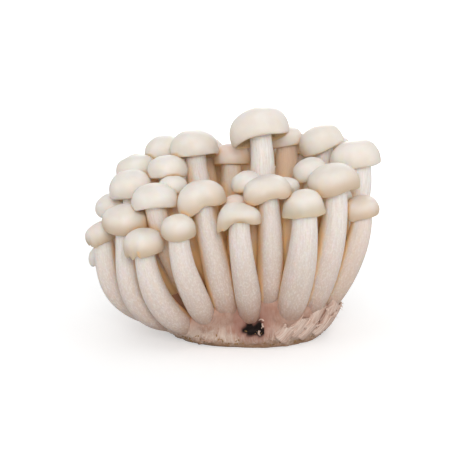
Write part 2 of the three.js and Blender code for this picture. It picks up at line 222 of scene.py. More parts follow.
# What some mushrooms are known for. "lobes": a side's bearing from +X and half width in degrees, and
# in mm how much lower the margin hangs there, how far it flares, and how far the dome over it is
# dented. "wrinkles": a puckered side's bearing, half width and depth. "dome", "width" and "stem": the
# height of its dome, width of its cap and thickness of its stem, as shares of the imported ones.
# The two other keys say how strongly it is tinted pinkish tan, partly as its own tone and partly as
# painted shade, and how much more of that painted shade its stem takes, less where below 0.
CHARACTER = {
    "back_02": {"stem": 1.35},
    "front_01": {"wrinkles": [(225, 40, 2.6)]},
    "front_02": {"dome": 0.8, "width": 0.96, "lobes": [(335, 24, 0.7, 0.8, 0), (262, 30, 0.5, 0, 0)]},
    "front_03": {
        "dome": 0.92, "width": 0.94,
        "lobes": [(215, 26, 0.6, 0.3, 0), (245, 14, -0.4, -0.2, 0.4), (275, 25, 0.3, 0, 0)],
        "wrinkles": [(228, 30, 3.2)],
    },
    "front_04": {"width": 0.89, "lobes": [(250, 40, 0.3, 0, 0)]},
    "front_05": {"lobes": [(207, 30, 1.5, 0.6, 0), (281, 23, -2.2, -0.8, 1.8), (342, 24, 0.4, 0.5, 0)]},
    "front_06": {
        "dome": 0.78,
        "lobes": [(203, 26, 1.0, 0.7, 0), (268, 32, -3.3, -0.4, 0.3), (325, 32, -1.2, 0.9, 0)],
        "wrinkles": [(205, 30, 2.0)],
    },
    "front_07": {
        "dome": 0.85, "width": 0.96,
        "lobes": [(212, 26, 0.9, 0.5, 0), (285, 30, -2.2, -0.3, 0.5), (347, 24, -0.9, 1.3, 1.0)],
    },
    "front_08": {
        "stem": 1.1,
        "lobes": [
            (192, 20, 0.3, 1.6, 0), (346, 20, 0, 1.0, 0),
            (270, 28, -0.7, 0.2, 0), (270, 120, 0, 0, 1.6),
        ],
    },
    "front_09": {
        "stem": 1.08, "dome": 0.86, "width": 0.97,
        "lobes": [
            (222, 30, 0.1, 0.2, 0), (300, 24, -0.5, 0.2, 0),
            (338, 18, 0.4, 1.0, 0), (8, 12, -0.9, -0.9, 0.5),
        ],
    },
    "front_10": {"stem": 1.22, "flush": 0.15, "lobes": [(225, 24, 0.8, 0.2, 0)]},
    "second_row_01": {
        "lobes": [(275, 50, -2.0, 0.2, 0), (195, 22, 0, 0.6, 0), (345, 22, -0.3, 0.6, 0)],
    },
    "second_row_07": {"flush": 0.4},
    "crown_03": {"lobes": [(330, 26, -0.5, 0.5, 0)]},
    "crown_04": {"flush": 0.35, "tan": -0.3},
    "crown_05": {"dome": 0.92, "lobes": [(205, 30, 0.7, 0.3, 0), (315, 40, 1.2, 0, 0)]},
    "crown_06": {"flush": 0.1, "tan": 0.45},
    "crown_07": {"lobes": [(342, 14, -0.3, 1.1, 0)]},
    "crown_08": {"stem": 1.4, "lobes": [(305, 32, 1.0, 0, 0)]},
}


def beside(bearing, towards, width):
    """1 at one bearing in degrees, fading on both sides of it over a width in degrees."""
    off = (bearing - math.radians(towards) + math.pi) % (2 * math.pi) - math.pi
    return np.exp(-((off / math.radians(width)) ** 2))


def margin_of(bearing, number, character):
    """How far a cap's margin hangs and flares and its dome is dented, in mm, at each bearing."""
    at = on_circle(bearing)
    hang, flare, dent = relief(at, HANGING, number), relief(at, FLARING, number), 0 * bearing
    for towards, width, deep in character.get("wrinkles", []):
        near = deep * beside(bearing, towards, width)
        hang = hang + near * relief(at, PUCKER_DOWN, number)
        flare = flare + near * relief(at, PUCKER_OUT, number)
    for towards, width, lower, wider, deeper in character.get("lobes", []):
        near = beside(bearing, towards, width)
        hang, flare, dent = hang + lower * near, flare + wider * near, dent + deeper * near
    return hang[:, None], flare[:, None], dent[:, None]


def skin_rows(rings, crown, number, character):
    """A mushroom's fine rows of points from the foot to the crown, and the axis of its cap."""
    stem, cap = rings[:STEM_RINGS], rings[STEM_RINGS:]
    seat = circle_of(stem[-1], PACKED_TURN)
    middle = seat.mean(0)
    first = unit(seat[0] - middle)
    axis = unit(np.cross(first, seat[2] - middle))
    second = np.cross(axis, first)
    reach = cap - middle
    reach = norm(reach - (reach @ axis)[:, :, None] * axis, axis=2)
    radius = (reach.max(axis=1) / [out for out, up in PACKED_CAP]).max()

    def level(up):
        return middle + (up - GILL_ROOT) * radius * axis

    unpressed = []
    for out, up in PACKED_CAP:
        unpressed.append(circles(level(up), out * radius * first, out * radius * second, PACKED_TURN))
    pressed_top = np.broadcast_to(crown - level(CAP_TOP), (1, AROUND, 3))
    pressed = np.concatenate([rounded(cap - unpressed), pressed_top])
    fine_stem = np.array([circle_of(ring, TURN) for ring in stem])
    fine_stem += rounded(stem - np.array([circle_of(ring, PACKED_TURN) for ring in stem]))
    stem_middles = fine_stem.mean(axis=1, keepdims=True)
    fine_stem = stem_middles + character.get("stem", 1) * (fine_stem - stem_middles)
    foot, over_foot = fine_stem[0], fine_stem[1]
    rooted = foot + FOOT_DROP * (foot - over_foot) + FOOT_TAPER * (foot.mean(0) - foot)
    arms = circles(0, first, second, TURN)
    hang, flare, dent = margin_of(np.arctan2(arms[:, 1], arms[:, 0]), number, character)
    width, dome = character.get("width", 1), character.get("dome", 1)
    fine_cap = []
    for out, up, ring in LIP + DOME:
        low = int(ring)
        next_ring = pressed[min(low + 1, LAST_RING)]
        press = pressed[low] + (ring - low) * (next_ring - pressed[low])
        near_margin = max(0, 1 - ring / MARGIN_FADE) ** 1.2
        near_shoulder = math.sin(math.pi * ring / LAST_RING)
        away = out * radius * width + near_margin * flare - near_shoulder * dent
        lowered = up if up <= WIDEST else WIDEST + dome * (up - WIDEST)
        fine_cap.append(level(lowered) + away * arms + press - near_margin * hang * axis)
    root = fine_stem[-1]
    outwards = fine_cap[0] - root
    wide = norm(outwards, axis=1, keepdims=True)
    rise = np.minimum(radius, wide / NARROW_HOLLOW) * axis
    hollow = [root + out * outwards + up * rise for out, up in HOLLOW]
    beyond = np.roll(fine_cap[-2], AROUND // 2, axis=0)
    rows = np.array([rooted, *fine_stem, *hollow, *fine_cap, beyond])
    return smooth_rows(rows, STEM_STEPS + HOLLOW_STEPS + CAP_STEPS + [0]), axis


def normals_of(rows):
    """Outward directions at the points of some rows that close on themselves all round."""
    round_way = np.roll(rows, -1, axis=1) - np.roll(rows, 1, axis=1)
    normals = np.cross(round_way, np.gradient(rows, axis=0))
    return normals / np.maximum(norm(normals, axis=2, keepdims=True), 1e-9)


def grown_places(rows):
    """Where each point would be on a straightened mushroom: round its middle, and along its length."""
    middles = rows.mean(axis=1)
    lengths = norm(np.diff(middles, axis=0), axis=1)
    along = np.concatenate([[0], np.cumsum(lengths)])
    away = norm(rows - middles[:, None], axis=2)
    flat = np.broadcast_to(along[:, None], away.shape)
    return np.stack([away * np.cos(TURN), away * np.sin(TURN), flat], axis=2)


low_corner, high_corner = (np.array(corner) / MM for corner in cad_box)
skins = {}
for number, name in enumerate(sorted(set(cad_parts) - {"butt"})):
    character = CHARACTER.get(name.replace("mushroom_", ""), {})
    rows, axis = skin_rows(*rings_of(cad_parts[name]), number, character)
    grown = grown_places(rows)
    row = np.arange(len(rows))[:, None]
    on_stem = 1 - eased(row, HOLLOW_ROW - 4, HOLLOW_ROW)
    on_cap = eased(row, LIP_ROW, LIP_ROW + 8)
    margin_radius = norm(rows[LIP_ROW] - rows[LIP_ROW].mean(0), axis=1).max()
    cap_lumps = [(CAP_LUMP, CAP_LUMP_SIZE * margin_radius, 0), FINE_LUMP]
    ridges, lumps = relief(grown, RIDGES, number), relief(rows, cap_lumps, number)
    rows += normals_of(rows) * (on_stem * ridges + on_cap * lumps)[:, :, None]
    rows = np.clip(rows, low_corner, high_corner)
    skins[name] = {"rows": rows, "grown": grown, "axis": axis, "number": number, "character": character}


def closed(rows):
    """The corners of the faces of a skin of rows, closed at both ends by poles that come last."""
    count, around = rows.shape[:2]
    i = np.arange(around)
    following = (i + 1) % around
    quads = []
    for low in range(0, (count - 1) * around, around):
        high = low + around
        quads += np.stack([low + i, low + following, high + following, high + i], axis=1).tolist()
    foot = count * around
    last = foot - around
    sides = list(zip(i.tolist(), following.tolist()))
    return quads + [(foot, b, a) for a, b in sides] + [(last + a, last + b, foot + 1) for a, b in sides]


def skin_of(rows):
    """The points of a skin of rows, with the two that close it last."""
    return [*rows.reshape(-1, 3), rows[0].mean(0), rows[-1].mean(0)]


# All the skins together, coarsened, show each point how closed in it is.
bunch_points, bunch_faces = [], []
for skin in skins.values():
    coarse = skin["rows"][::3, ::4]
    start = len(bunch_points)
    bunch_points += [tuple(p) for p in skin_of(coarse)]
    bunch_faces += [[start + c for c in face] for face in closed(coarse)]
bunch = BVHTree.FromPolygons(bunch_points, bunch_faces)

RAY_COUNT = 40
FLATTEST = 0.1  # flatter rays are left out
LIFT = 0.25  # how far off the skin, in mm, a ray starts
NEIGHBOUR = 3.5  # how far off, in mm, a neighbour still counts as touching


def crowding(rows):
    """How much of each point's outlook the bunch closes, and how much of it touches a neighbour."""
    turn = np.arange(RAY_COUNT) * math.pi * (3 - math.sqrt(5))
    height = 1 - (2 * np.arange(RAY_COUNT) + 1) / RAY_COUNT
    wide = np.sqrt(1 - height**2)
    ways = np.stack([wide * np.cos(turn), wide * np.sin(turn), height], axis=1)
    points = rows.reshape(-1, 3)
    normals = normals_of(rows).reshape(-1, 3)
    facing = np.maximum(normals @ ways.T, 0)
    facing[facing < FLATTEST] = 0
    shut = np.zeros(len(points))
    near = np.zeros(len(points))
    for i, start in enumerate(points + LIFT * normals):
        start = Vector(start)
        for k in np.nonzero(facing[i])[0]:
            place, normal, face, distance = bunch.ray_cast(start, ways[k])
            if distance is None:
                continue
            if normal.dot(ways[k]) > 0:
                distance = 0
            shut[i] += facing[i, k]
            near[i] += facing[i, k] * max(0, 1 - distance / NEIGHBOUR)
    total = facing.sum(axis=1)
    return (shut / total).reshape(rows.shape[:2]), (near / total).reshape(rows.shape[:2])


def spread_out(values, shape):
    """Values at every second row and column, brought back to all of them."""
    full = np.repeat(np.repeat(values, 2, axis=0), 2, axis=1)[: shape[0], : shape[1]]
    full = (full + np.roll(full, 1, axis=1)) / 2
    full[1:] = (full[1:] + full[:-1]) / 2
    return full


def linear(code):
    """An sRGB hex colour as a linear one."""
    parts = [int(code[i : i + 2], 16) / 255 for i in (1, 3, 5)]
    return [p / 12.92 if p <= 0.04045 else ((p + 0.055) / 1.055) ** 2.4 for p in parts] + [1]


def add(tree, kind, inputs=None, output=0, **settings):
    """Adds a node with its settings and its inputs, values or links, and returns one of its outputs."""
    made = tree.nodes.new(kind)
    for setting, value in settings.items():
        setattr(made, setting, value)
    for key, value in (inputs or {}).items():
        named = [s for s in made.inputs if s.enabled and key in (s.name, s.identifier)]
        socket = made.inputs[key] if isinstance(key, int) else named[0]
        values = value if isinstance(value, list) else [value]
        links = [v for v in values if isinstance(v, bpy.types.NodeSocket)]
        for link in links:
            tree.links.new(link, socket)
        if not links:
            socket.default_value = value
    outputs = {s.name: s for s in reversed(made.outputs) if s.enabled}
    return outputs.get(output) or next((s for s in made.outputs if s.enabled), None)


def new_material(name):
    """An empty material, and its tree of nodes."""
    material = bpy.data.materials.new(name)
    material.use_nodes = True
    material.node_tree.nodes.clear()
    return material, material.node_tree


def painted(tree, base, layers, look):
    """Ends a material: a base colour, layers of colour over it, and the look of its surface."""
    colour = linear(base)
    for follows, start, end, most, tint in layers:
        if isinstance(follows, str):
            follows = add(tree, "ShaderNodeAttribute", output="Fac", attribute_name=follows)
        shown = {"Value": follows, "From Min": start, "From Max": end, "To Max": most}
        shown = add(tree, "ShaderNodeMapRange", shown)
        mixed = {"Factor": shown, "A": colour, "B": linear(tint)}
        colour = add(tree, "ShaderNodeMix", mixed, data_type="RGBA")
    shader = add(tree, "ShaderNodeBsdfPrincipled", {"Base Color": colour, **look})
    add(tree, "ShaderNodeOutputMaterial", {"Surface": shader})


FLESH = {"Subsurface Weight": 0.6, "Subsurface Radius": (1.0, 0.62, 0.38), "Subsurface Scale": 3 * MM}

# Cap skin: the smooth, dry, slightly leathery skin of a young cap. It gives the eye a satin ivory,
# faintly mottled, tinted pinkish tan on some mushrooms, partly as its own tone and partly as painted
# shade. Painted shade darkens it towards the margin, most on the front row. Painted tan shade lies
# where the bunch closes it in and where it touches a neighbour, and fades higher up. A layer of colour
# says what it follows (a mark on the mesh or a pattern), where it sets in, how strong it gets, its
# tint.
cap_skin, tree = new_material("cap_skin")
place = add(tree, "ShaderNodeTexCoord", output="Object")
mottle = add(tree, "ShaderNodeTexNoise", {"Vector": place, "Scale": 1 / (6 * MM), "Detail": 3.0})
pores = add(tree, "ShaderNodeTexNoise", {"Vector": place, "Scale": 1 / (0.5 * MM), "Detail": 2.0})
bump = add(tree, "ShaderNodeBump", {"Height": pores, "Strength": 0.15, "Distance": 0.1 * MM})
along = add(tree, "ShaderNodeAttribute", output="Fac", attribute_name="along")
# How strong the painted tan shade of crowded caps gets: less higher up.
lower = {"Value": along, "From Min": 45.0, "From Max": 75.0, "To Min": 1.0, "To Max": 0.4}
lower = add(tree, "ShaderNodeMapRange", lower)
# The mottle is the skin's own. The margin, enclosure and contact layers are painted shade, and the
# pinkish tan is partly painted shade.
layers = [
    (mottle, 0.35, 0.65, 1.0, "#ebe3d9"),
    ("margin", 0, 1, 1, "#d0baa0"),
    ("flush", 0, 1, 1, "#eac7b4"),
    ("nestled", 0.7, 0.97, lower, "#f3ca97"),
    ("touching", 0.35, 0.9, lower, "#e1bc90"),
]
painted(tree, "#f0eae4", layers, {"Roughness": 0.48, "Normal": bump, **FLESH})

# Stem flesh: white fibres that run the length of the stem, with small torn flecks. It gives the eye a
# duller white than the cap, streaked lengthwise. It deepens to pinkish tan at the foot, partly as its
# own colour and partly as painted shade and painted reddish reflected light. Some stems are tinted tan,
# partly as their own tone and partly as painted shade. Painted tan shade lies where the bunch closes
# them in and where they touch a neighbour, low down only. The pattern's sizes are in mm on the
# straightened stem.
stem_flesh, tree = new_material("stem_flesh")
grown = add(tree, "ShaderNodeAttribute", output="Vector", attribute_name="grown")
fibre_place = add(tree, "ShaderNodeMapping", {"Vector": grown, "Scale": (1 / 0.6, 1 / 0.6, 1 / 7)})
fibres = add(tree, "ShaderNodeTexNoise", {"Vector": fibre_place, "Scale": 1.0, "Detail": 3.0})
fleck_place = add(tree, "ShaderNodeMapping", {"Vector": grown, "Scale": (1 / 0.6, 1 / 0.6, 1 / 1.0)})
flecks = add(tree, "ShaderNodeTexNoise", {"Vector": fleck_place, "Scale": 1.0, "Detail": 2.0})
flecks = add(tree, "ShaderNodeMapRange", {"Value": flecks, "From Min": 0.45, "From Max": 0.7})
fuzz = add(tree, "ShaderNodeMath", {0: fibres, 1: flecks}, operation="ADD")
bump = add(tree, "ShaderNodeBump", {"Height": fuzz, "Strength": 0.4, "Distance": 0.15 * MM})
along = add(tree, "ShaderNodeAttribute", output="Fac", attribute_name="along")
# How strong the painted tan shade of crowded stems gets: full low down, none high up.
lower = {"Value": along, "From Min": 42.0, "From Max": 64.0, "To Min": 1.0, "To Max": 0.0}
lower = add(tree, "ShaderNodeMapRange", lower)
# Darker and pinker towards the foot, partly as its own colour and partly as painted shade and reflected
# light. The streaks and flecks are its own. The tan tint is partly painted shade, and the enclosure and
# contact layers are painted shade.
layers = [
    (along, 62.0, 6.0, 1.0, "#cab1a1"),
    (fibres, 0.4, 0.7, 0.35, "#d3c0ae"),
    (flecks, 0.0, 1.0, 0.35, "#fdfaf6"),
    (along, 16.0, 3.0, 0.85, "#ad836f"),
    ("flush", 0, 1, 1, "#e0b68a"),
    ("nestled", 0.64, 0.94, lower, "#f7cf99"),
    ("touching", 0.35, 0.9, lower, "#e1bc90"),
]
painted(tree, "#fbf7f3", layers, {"Roughness": 0.6, "Normal": bump, **FLESH})

# Gill flesh: the thin, soft blades under a cap. They give the eye a faintly mottled matte cream, warmer
# than the skin, partly as their own cream and partly as painted shade of the hollow under the cap.
gill_flesh, tree = new_material("gill_flesh")
place = add(tree, "ShaderNodeTexCoord", output="Object")
cloud = add(tree, "ShaderNodeTexNoise", {"Vector": place, "Scale": 1 / (3 * MM), "Detail": 2.0})
painted(tree, "#f0dab2", [(cloud, 0, 1, 1, "#e5c38f")], {"Roughness": 0.7, **FLESH})


def mesh_of(name, points, edges, faces, **marks):
    """A mesh from points in mm, with a number or a direction at each point for every mark."""
    mesh = bpy.data.meshes.new(name)
    mesh.from_pydata((np.array(points) * MM).tolist(), edges, faces)
    for mark, values in marks.items():
        values = np.array(values, dtype=float)
        kind, key = ("FLOAT_VECTOR", "vector") if values.ndim == 2 else ("FLOAT", "value")
        mesh.attributes.new(mark, kind, "POINT").data.foreach_set(key, values.ravel())
    return mesh


def placed(name, data):
    """An object of some mesh, lamp or camera, in the scene."""
    made = bpy.data.objects.new(name, data)
    bpy.context.scene.collection.objects.link(made)
    return made


def new_tree(name, sizes):
    """A Geometry Nodes tree with named inputs, its geometry input and the sockets of its sizes."""
    tree = bpy.data.node_groups.new(name, "GeometryNodeTree")
    for end in ("INPUT", "OUTPUT"):
        tree.interface.new_socket("Geometry", in_out=end, socket_type="NodeSocketGeometry")
    for size, kind in sizes.items():
        tree.interface.new_socket(size, in_out="INPUT", socket_type="NodeSocket" + kind)
    geometry = add(tree, "NodeGroupInput")
    return tree, geometry, {s.name: s for s in tree.nodes[-1].outputs}


def grown_with(piece, tree, values):
    """Gives a piece what a tree makes from it, as a plain mesh."""
    modifier = piece.modifiers.new(tree.name, "NODES")
    modifier.node_group = tree
    for item in tree.interface.items_tree:
        if item.in_out == "INPUT" and item.name in values:
            modifier[item.identifier] = values[item.name]
    evaluated = piece.evaluated_get(bpy.context.evaluated_depsgraph_get())
    mesh = bpy.data.meshes.new_from_object(evaluated)
    piece.modifiers.remove(modifier)
    mesh.name = piece.name
    piece.data = mesh


# Blades are the thin fins of gills and the strands of threads: one along every line of a mesh. Each
# point of a line says how far the fin stands out there, "blade", and which way, "hang".
blades, geometry, size = new_tree("blades", {"Sides": "Int", "Thinness": "Float", "Finish": "Material"})
on_line = add(blades, "GeometryNodeInputNamedAttribute", {"Name": "line"}, data_type="BOOLEAN")
hang = add(blades, "GeometryNodeInputNamedAttribute", {"Name": "hang"}, data_type="FLOAT_VECTOR")
blade = add(blades, "GeometryNodeInputNamedAttribute", {"Name": "blade"}, data_type="FLOAT")
curves = add(blades, "GeometryNodeMeshToCurve", {"Mesh": geometry, "Selection": on_line})
curves = add(blades, "GeometryNodeSetCurveNormal", {"Curve": curves, "Normal": hang}, mode="FREE")
outline = add(blades, "GeometryNodeCurvePrimitiveCircle", {"Resolution": size["Sides"], "Radius": 1.0})
flat = add(blades, "ShaderNodeCombineXYZ", {"X": 1.0, "Y": size["Thinness"], "Z": 1.0})
outline = add(blades, "GeometryNodeTransform", {"Geometry": outline, "Scale": flat})
fins = {"Curve": curves, "Profile Curve": outline, "Scale": blade, "Fill Caps": True}
fins = add(blades, "GeometryNodeCurveToMesh", fins)
fins = add(blades, "GeometryNodeSetMaterial", {"Geometry": fins, "Material": size["Finish"]})
rest = {"Geometry": geometry, "Selection": on_line}
rest = add(blades, "GeometryNodeDeleteGeometry", rest, domain="POINT")
joined = add(blades, "GeometryNodeJoinGeometry", {"Geometry": [rest, fins]})
joined = add(blades, "GeometryNodeRealizeInstances", {"Geometry": joined})
add(blades, "NodeGroupOutput", {"Geometry": joined})


def mark_lines(mesh, first):
    """Marks the edges between the points from the given one on as lines that blades grow on."""
    ends = np.empty(2 * len(mesh.edges), dtype=np.int32)
    mesh.edges.foreach_get("vertices", ends)
    mesh.attributes.new("line", "BOOLEAN", "EDGE").data.foreach_set("value", ends[::2] >= first)


# The gills run from the stem to the lip, every second one short, and stand out furthest midway. Their
# sizes are in mm.
GILL_STEP = 2  # rows of the skin from one point of a gill to the next
GILL_START, SHORT_START = HOLLOW_ROW + 1, HOLLOW_ROW + 7
GILL_DEPTH, SHORT_DEPTH = 1.5, 0.8
GILL_EDGE = 0.12  # how far a gill stands out at its very ends
GILL_THINNESS = 0.11
MARGIN_SHADE_ROWS = (LIP_ROW + 4, LIP_ROW + 20)  # rows over which the painted shade of the margin fades into the dome
GROWN_APART = 31.7  # keeps each stem's streaks its own

for name, skin in skins.items():
    rows, character = skin["rows"], skin["character"]
    # How closed in by the bunch each point is, and how near a neighbour: the marks for painted shade
    # deep in the bunch and where mushrooms touch.
    nestled, touching = (spread_out(v, rows.shape) for v in crowding(rows[::2, ::2]))
    points = [skin_of(rows)]
    row_of = [np.repeat(np.arange(len(rows)), AROUND), [0, len(rows) - 1]]
    skin_count = len(rows) * AROUND + 2
    blade = [np.zeros(skin_count)]
    edges = []
    for column in range(AROUND):
        short = column % 2
        steps = np.arange(SHORT_START if short else GILL_START, LIP_ROW + 1, GILL_STEP)
        first = sum(len(p) for p in points)
        points.append(rows[steps, column])
        row_of.append(steps)
        depth = SHORT_DEPTH if short else GILL_DEPTH
        blade.append(GILL_EDGE + depth * np.sin(math.pi * np.linspace(0.12, 0.97, len(steps))))
        edges += [(first + k, first + k + 1) for k in range(len(steps) - 1)]
    points = np.concatenate(points)
    row_of = np.concatenate(row_of).astype(int)
    unmarked = np.zeros((len(points) - rows.size // 3, 3))
    grown = skin["grown"].reshape(-1, 3) + skin["number"] * GROWN_APART
    # Painted shade darkens each cap towards its margin. The front row's caps get more of it, and a
    # little all over.
    margin = 1 - eased(row_of, *MARGIN_SHADE_ROWS)
    mesh = mesh_of(
        name + "_flesh",
        points,
        edges,
        closed(rows),
        nestled=np.append(nestled, unmarked[:, 0]),
        touching=np.append(touching, unmarked[:, 0]),
        margin=0.1 + 0.9 * margin if name.startswith("front") else 0.25 * margin,
        along=skin["grown"][:, 0, 2][row_of],
        # a pinkish tan, partly its own tone and partly painted shade, with a different share of painted
        # shade on the stem
        flush=character.get("flush", 0) + character.get("tan", 0) * (row_of < HOLLOW_ROW),
        grown=np.concatenate([grown, unmarked]),
        blade=np.concatenate(blade) * MM,
        hang=np.tile(-skin["axis"], (len(points), 1)),
    )
    mark_lines(mesh, skin_count)
    for material in (stem_flesh, cap_skin, gill_flesh):
        mesh.materials.append(material)
    in_row = np.repeat(np.arange(len(rows) - 1), AROUND)
    which = np.where(in_row >= LIP_ROW, 1, np.where(in_row >= HOLLOW_ROW, 2, 0))
    which = np.concatenate([which, np.repeat([0, 1], AROUND)])
    mesh.polygons.foreach_set("material_index", which)
    mesh.shade_smooth()
    piece = placed(name + "_flesh", mesh)
    grown_with(piece, blades, {"Sides": 4, "Thinness": GILL_THINNESS, "Finish": gill_flesh})
    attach(piece, "root")
    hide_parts(name)


# ---- The butt ----
# The pad that all the stems grow from: matted white threads that hold scraps of the sawdust they fed
# on. It was cut flat off its block, so it stands, and it swells up round the foot of every stem.
# Its sizes are in mm.

BUTT_AROUND, BUTT_ROWS = 300, 58
BUTT_WAIST = 6  # the height where it is widest
CUT_SHARES = (0.2, 0.4, 0.6, 0.8, 0.93)  # its rings on the cut face
CUT_EDGE = 1.5  # how high the knife left it even
WANDER = [(0.05, 0.45, 900), (0.02, 0.12, 901)]
FOLDS = [(0.7, (3.5, 3.5, 22), 904), (0.4, (1.4, 1.4, 9), 905)]
LUMPS = [(0.9, 7, 902), (0.45, 2.4, 903), (0.2, 1.0, 906)]
REACHES = np.arange(0, 9.1, 0.5)  # how far out the pad may swell
FOOT_SWELL = 1.05  # a share of the stem's thickness
FUSED_HEIGHT = 7  # how far up a stem the pad climbs
FUSED_BLEND = 2.0
FUSED_DEEPEST = -8  # deeper in a foot is all one
SMOOTHINGS = 3
HOLE = np.array([8.3, -30.0, 8.2])  # where the pad was torn open
HOLE_SIZE = np.array([4.8, 4.5, 3.3])
HOLE_DEPTH = 5.5
HOLE_EDGE = [(0.5, 2.6, 907)]
SUNK_FADE, HOLE_RIM_FADE = (0.7, 1.1), (0.8, 2.4)  # in multiples of the hole's size
HOLE_RIM_LOSS = 0.6  # the share of its swelling lost there

low, high = (np.array(corner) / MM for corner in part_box("butt"))
centre = np.array([(low[0] + high[0]) / 2, (low[1] + high[1]) / 2, BUTT_WAIST])
half = np.array([(high[0] - low[0]) / 2, (high[1] - low[1]) / 2, high[2] - BUTT_WAIST])
outline = on_circle(turns(BUTT_AROUND))
wander = relief(outline, WANDER, base=1)[:, None]
slants = np.linspace(-math.asin(BUTT_WAIST / half[2]), math.pi / 2, BUTT_ROWS)[:-1]
side = [centre + half * (math.cos(a) * wander * outline + [0, 0, math.sin(a)]) for a in slants]
on_floor = centre * [1, 1, 0]
rows = np.array([on_floor + share * (side[0] - on_floor) for share in CUT_SHARES] + side)
normals = normals_of(rows)
above_cut = eased(rows[:, :, 2], 0, CUT_EDGE)

# The pad's own skin and the feet are blended as soft bodies are: the surface lies as far out along
# each normal as the pad or a foot, rounded into each other, still reaches.
probes = rows[:, :, None] + REACHES[:, None] * normals[:, :, None]
closeness = np.exp(-REACHES / FUSED_BLEND) * np.ones(probes.shape[:3])
for skin in skins.values():
    foot_ring, next_ring = skin["rows"][[FOOT_ROW, FOOT_ROW + STEM_STEP]]
    foot, higher = skin["rows"].mean(axis=1)[[FOOT_ROW, FOOT_ROW + STEM_STEP]]
    span = norm(higher - foot)
    way = (higher - foot) / span
    foot_radius = norm(foot_ring - foot, axis=1).mean()
    growth = norm(next_ring - higher, axis=1).mean() - foot_radius
    off = probes - foot
    up = off @ way
    radius = foot_radius * FOOT_SWELL + growth * np.clip(up / span, 0, 1)
    outside = norm(off - up[..., None] * way, axis=3) - radius
    outside = np.maximum(outside, up - FUSED_HEIGHT)
    closeness += np.exp(-np.maximum(outside, FUSED_DEEPEST) / FUSED_BLEND)
furthest = len(REACHES) - 1 - np.argmax((closeness >= 1)[:, :, ::-1], axis=2)
fused = REACHES[furthest]
for _ in range(SMOOTHINGS):
    fused = (2 * fused + np.roll(fused, 1, axis=1) + np.roll(fused, -1, axis=1)) / 4
    fused[1:-1] = (2 * fused[1:-1] + fused[2:] + fused[:-2]) / 4

from_hole = norm((rows - HOLE) / HOLE_SIZE, axis=2) + relief(rows, HOLE_EDGE)
# How far the pad sinks into the torn hole, whose inside is painted near black as shade, and the ring
# round it, which swells less and is painted a reddish shade.
sunk = 1 - eased(from_hole, *SUNK_FADE)
bruised = 1 - eased(from_hole, *HOLE_RIM_FADE)
swollen = relief(rows, FOLDS) + relief(rows, LUMPS) + fused * (1 - HOLE_RIM_LOSS * bruised)
butt_rows = rows + (above_cut * swollen - HOLE_DEPTH * sunk)[:, :, None] * normals
butt_rows[:, :, 2] = np.maximum(butt_rows[:, :, 2], 0)
butt_normals = normals_of(butt_rows)
hemmed_in = spread_out(crowding(butt_rows[::2, ::2])[0], butt_rows.shape)

# Mycelium: matted fungus threads, torn and handled. It gives the eye a matte, patchy cream with paler
# threads, stained brown by the sawdust near the cut. Higher up towards the stems it is pinkish tan,
# partly as its own colour and partly as painted shade. Painted shade darkens it where the bunch closes
# it in, a painted reddish shade rings the torn hole, and the inside of the hole is painted near black
# as shade.
mycelium, tree = new_material("mycelium")
place = add(tree, "ShaderNodeTexCoord", output="Object")
height = add(tree, "ShaderNodeSeparateXYZ", {"Vector": place}, output="Z")
patches = add(tree, "ShaderNodeTexNoise", {"Vector": place, "Scale": 1 / (5 * MM), "Detail": 4.0})
threads_place = add(tree, "ShaderNodeMapping", {"Vector": place, "Scale": (1 / 0.7, 1 / 0.7, 1 / 5)})
threads = add(tree, "ShaderNodeTexNoise", {"Vector": threads_place, "Scale": 1 / MM, "Detail": 3.0})
bump = add(tree, "ShaderNodeBump", {"Height": threads, "Strength": 0.6, "Distance": 0.3 * MM})
stains = add(tree, "ShaderNodeTexNoise", {"Vector": place, "Scale": 1 / (2.5 * MM), "Detail": 4.0})
stains = {0: stains, 1: 9 * MM, 2: -4.5 * MM}
stains = add(tree, "ShaderNodeMath", stains, operation="MULTIPLY_ADD")
stains = add(tree, "ShaderNodeMath", {0: height, 1: stains}, operation="ADD")
# The patches, threads and sawdust stains are its own. The pinkish tan higher up is partly painted
# shade, and the last three layers are painted shade.
layers = [
    (patches, 0.42, 0.62, 1.0, "#c49e89"),
    (threads, 0.45, 0.65, 0.6, "#eee2d5"),
    (height, 5 * MM, 12 * MM, 0.75, "#b68b78"),
    (stains, 4 * MM, 0.5 * MM, 0.85, "#9a7350"),
    ("nestled", 0.5, 0.95, 0.8, "#b98464"),
    ("bruised", 0.0, 1.0, 0.75, "#94594a"),
    ("sunk", 0.1, 0.6, 1.0, "#241712"),
]
painted(tree, "#dec8b8", layers, {"Roughness": 0.85, "Normal": bump})

mesh = mesh_of(
    "butt_mycelium",
    skin_of(butt_rows),
    [],
    closed(butt_rows),
    nestled=[*hemmed_in.ravel(), 1, 1],
    sunk=[*sunk.ravel(), 0, 0],
    bruised=[*bruised.ravel(), 0, 0],
)
mesh.materials.append(mycelium)
mesh.shade_smooth()
butt = placed("butt_mycelium", mesh)
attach(butt, "root")
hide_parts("butt")


# ---- The threads ----
# Loose threads of the same mycelium. They grow out of the pad and stand off it where it was pulled
# about. Their sizes are in mm.


def stranded(name, lines, blade, hang, values):
    """A piece of blades along some lines of points, with their sizes and their directions."""
    starts = np.cumsum([0] + [len(line) for line in lines[:-1]])
    edges = [(s + k, s + k + 1) for s, line in zip(starts, lines) for k in range(len(line) - 1)]
    blade, hang = np.concatenate(blade) * MM, np.concatenate(hang)
    mesh = mesh_of(name, np.concatenate(lines), edges, [], blade=blade, hang=hang)
    mark_lines(mesh, 0)
    piece = placed(name, mesh)
    grown_with(piece, blades, values)
    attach(piece, "root")


